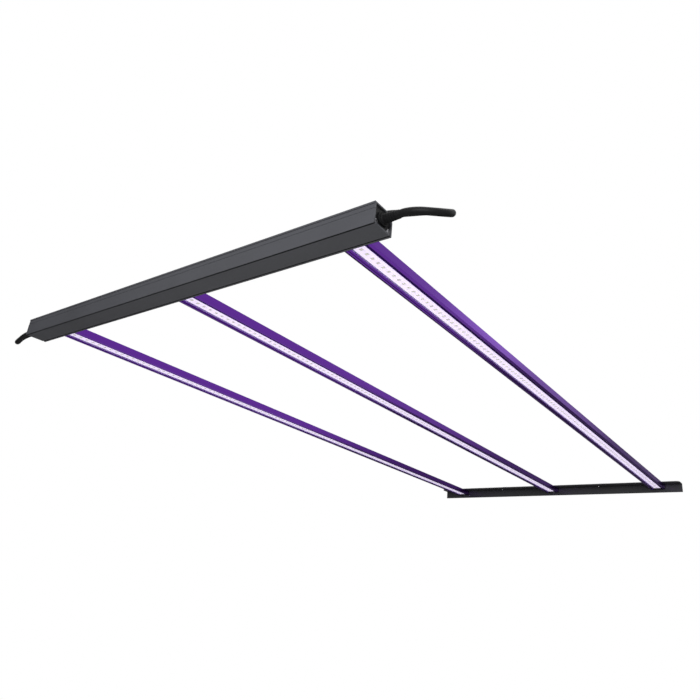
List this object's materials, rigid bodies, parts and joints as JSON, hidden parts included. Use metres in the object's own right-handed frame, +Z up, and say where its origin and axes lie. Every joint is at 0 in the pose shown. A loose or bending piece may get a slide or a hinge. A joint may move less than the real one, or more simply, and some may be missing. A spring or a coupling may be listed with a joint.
{
  "type": "led grow light",
  "caption": "Slim LED grow light: dark driver bar, violet finned light bars with lit strips, angled end rail, folding hanging rings and short capped leads.",
  "frame": {"origin": "centre of the resting footprint, at the foot of the driver bar and the end rail", "axes": "+X along the driver bar, +Y from the driver bar to the end rail, +Z up, light shines to -Z"},
  "size_m": [0.6785, 1.16, 0.0477],
  "materials": {
    "anthracite_coating": "fine matt powder coat",
    "black_coating": "satin black powder coat",
    "black_plastic": "moulded, lightly textured",
    "black_rubber": "matt moulded rubber",
    "cord_rubber": "smooth rubber sheath",
    "steel": "bright zinc plated",
    "black_steel": "blackened",
    "violet_anodised": "violet anodised, extruded",
    "white_board": "white solder mask, lit",
    "clear_lens": "clear extruded cover",
    "circuit_board": "green solder mask",
    "transformer_tape": "yellow insulating tape",
    "can_aluminium": "sleeved cans",
    "plain_aluminium": "mill finish",
    "green_plastic": "moulded"
  },
  "bodies": {
    "fixture": {"driver_body": "anthracite_coating", "driver_cover": "anthracite_coating", "end_cap_right": "black_plastic", "end_cap_left": "black_plastic", "end_cap_screws_right": "steel", "end_cap_screws_left": "steel", "gland_right": "black_rubber", "gland_left": "black_rubber", "driver_board": "circuit_board", "transformer": "transformer_tape", "capacitors": "can_aluminium", "switch_heatsink": "plain_aluminium", "terminal_block_right": "green_plastic", "terminal_block_left": "green_plastic", "lamp_socket_left": "black_plastic", "lamp_socket_centre": "black_plastic", "lamp_socket_right": "black_plastic", "socket_screws": "steel", "bar_plug_left": "black_plastic", "bar_plug_centre": "black_plastic", "bar_plug_right": "black_plastic", "bar_profile_left": "violet_anodised", "bar_profile_centre": "violet_anodised", "bar_profile_right": "violet_anodised", "led_board_left": "white_board", "led_board_centre": "white_board", "led_board_right": "white_board", "bar_lens_left": "clear_lens", "bar_lens_centre": "clear_lens", "bar_lens_right": "clear_lens", "bar_end_cap_left": "black_plastic", "bar_end_cap_centre": "black_plastic", "bar_end_cap_right": "black_plastic", "end_rail": "black_coating", "rail_screws": "black_steel", "ring_lug_driver_right": "steel", "ring_lug_driver_left": "steel", "ring_lug_rail_right": "steel", "ring_lug_rail_left": "steel", "lug_screws_driver": "steel", "lug_screws_rail": "steel", "cord_right": "cord_rubber", "cord_left": "cord_rubber", "connector_nut_right": "black_plastic", "connector_nut_left": "black_plastic", "connector_right": "black_plastic", "connector_left": "black_plastic"},
    "hang_ring_driver_right": {"hang_ring_driver_right": "steel"},
    "hang_ring_driver_left": {"hang_ring_driver_left": "steel"},
    "hang_ring_rail_right": {"hang_ring_rail_right": "steel"},
    "hang_ring_rail_left": {"hang_ring_rail_left": "steel"},
    "connector_cap_right": {"connector_cap_right": "black_plastic"},
    "connector_cap_left": {"connector_cap_left": "black_plastic"}
  },
  "joints": [
    {"name": "ring_driver_right_lift", "type": "hinge", "parent": "fixture", "child": "hang_ring_driver_right", "pos_m": [0.116, -0.5665, 0.0234], "axis": [0, -1, 0], "range_deg": [0, 180]},
    {"name": "ring_driver_left_lift", "type": "hinge", "parent": "fixture", "child": "hang_ring_driver_left", "pos_m": [-0.116, -0.5665, 0.0234], "axis": [0, -1, 0], "range_deg": [0, 180]},
    {"name": "ring_rail_right_lift", "type": "hinge", "parent": "fixture", "child": "hang_ring_rail_right", "pos_m": [0.116, 0.572, 0.0201], "axis": [0, -1, 0], "range_deg": [0, 180]},
    {"name": "ring_rail_left_lift", "type": "hinge", "parent": "fixture", "child": "hang_ring_rail_left", "pos_m": [-0.116, 0.572, 0.0201], "axis": [0, -1, 0], "range_deg": [0, 180]},
    {"name": "cap_right_turn", "type": "hinge", "parent": "fixture", "child": "connector_cap_right", "pos_m": [0.15, -0.562, 0.028], "axis": [-1, 0, 0], "continuous": true},
    {"name": "cap_left_turn", "type": "hinge", "parent": "fixture", "child": "connector_cap_left", "pos_m": [-0.15, -0.562, 0.028], "axis": [1, 0, 0], "continuous": true}
  ]
}
